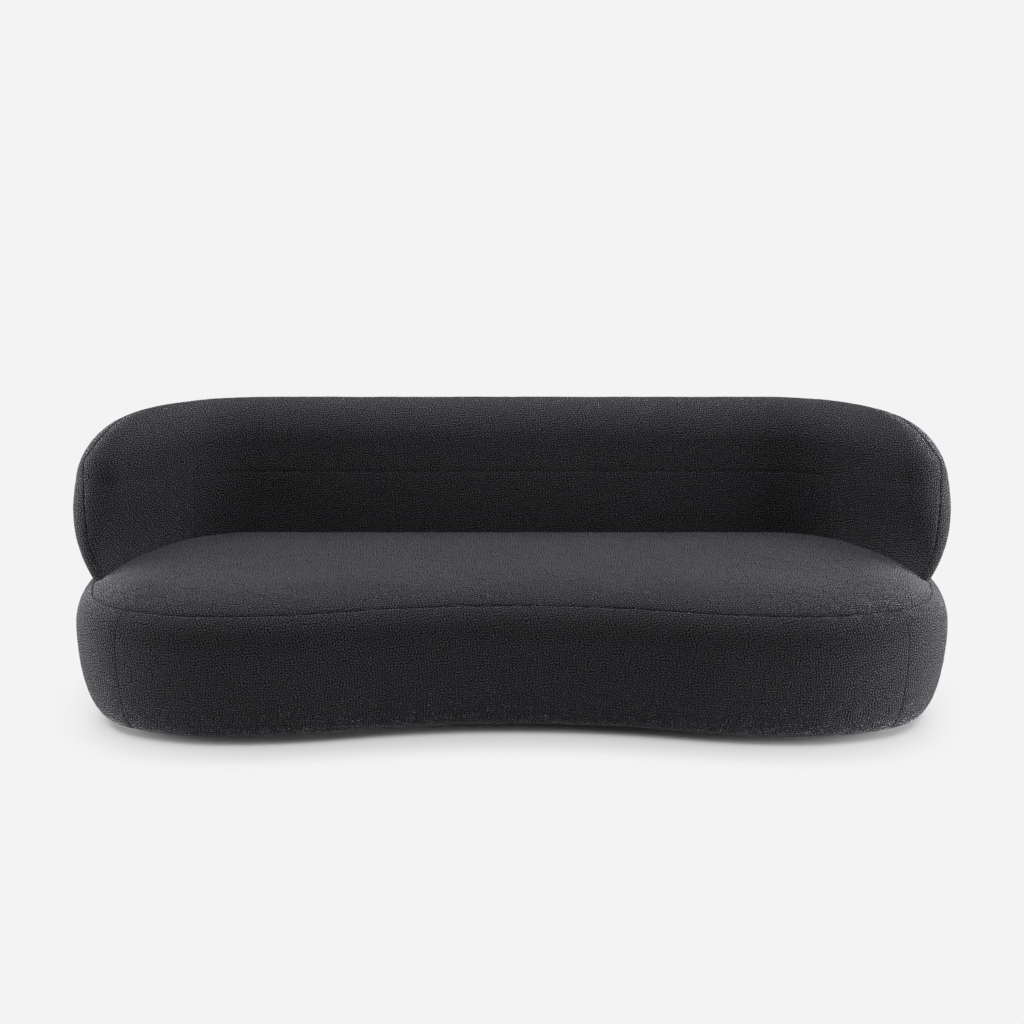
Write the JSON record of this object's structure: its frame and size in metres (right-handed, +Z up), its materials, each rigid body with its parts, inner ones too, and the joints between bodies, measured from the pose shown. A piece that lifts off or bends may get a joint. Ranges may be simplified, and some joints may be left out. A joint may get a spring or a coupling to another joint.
{
  "type": "sofa",
  "caption": "Low curved sofa with a bean-shaped seat base and a wrap-around back whose arms taper to low tips, upholstered in boucle",
  "frame": {"origin": "centre of the footprint, on the floor", "axes": "+Z up, the front faces -Y, +X runs along the sofa's length"},
  "size_m": [2.4598, 1.0001, 0.7685],
  "materials": {
    "timber": "raw plywood",
    "hardboard": "raw hardboard",
    "webbing": "woven elastic",
    "felt": "needled felt",
    "dust_cloth": "thin non-woven cloth",
    "foam": "open-cell foam",
    "boucle": "looped charcoal boucle",
    "foot_plastic": "matt black",
    "steel": "zinc plated"
  },
  "bodies": {
    "root": {"base_bottom_board": "timber", "base_front_rail": "timber", "base_rear_rail": "timber", "base_left_end_rail": "timber", "base_right_end_rail": "timber", "base_mid_rail": "timber", "base_cross_rails": "timber", "base_deck": "timber", "back_bottom_plate": "timber", "back_top_plate": "timber", "back_ribs": "timber", "back_inside_panel": "hardboard", "back_outside_panel": "hardboard", "seat_webbing": "webbing", "seat_felt": "felt", "dust_cover": "dust_cloth", "seat_foam": "foam", "seat_border_foam": "foam", "back_inside_foam": "foam", "left_arm_foam": "foam", "right_arm_foam": "foam", "back_outside_foam": "foam", "back_top_foam": "foam", "seat_top_cover": "boucle", "seat_front_cover": "boucle", "seat_rear_cover": "boucle", "seat_left_end_cover": "boucle", "seat_right_end_cover": "boucle", "back_outside_cover": "boucle", "back_lower_cover": "boucle", "back_wrap_cover": "boucle", "feet": "foot_plastic", "foot_screws": "steel", "back_bolts": "steel", "back_bolt_washers": "steel", "back_tee_nuts": "steel"}
  },
  "joints": []
}
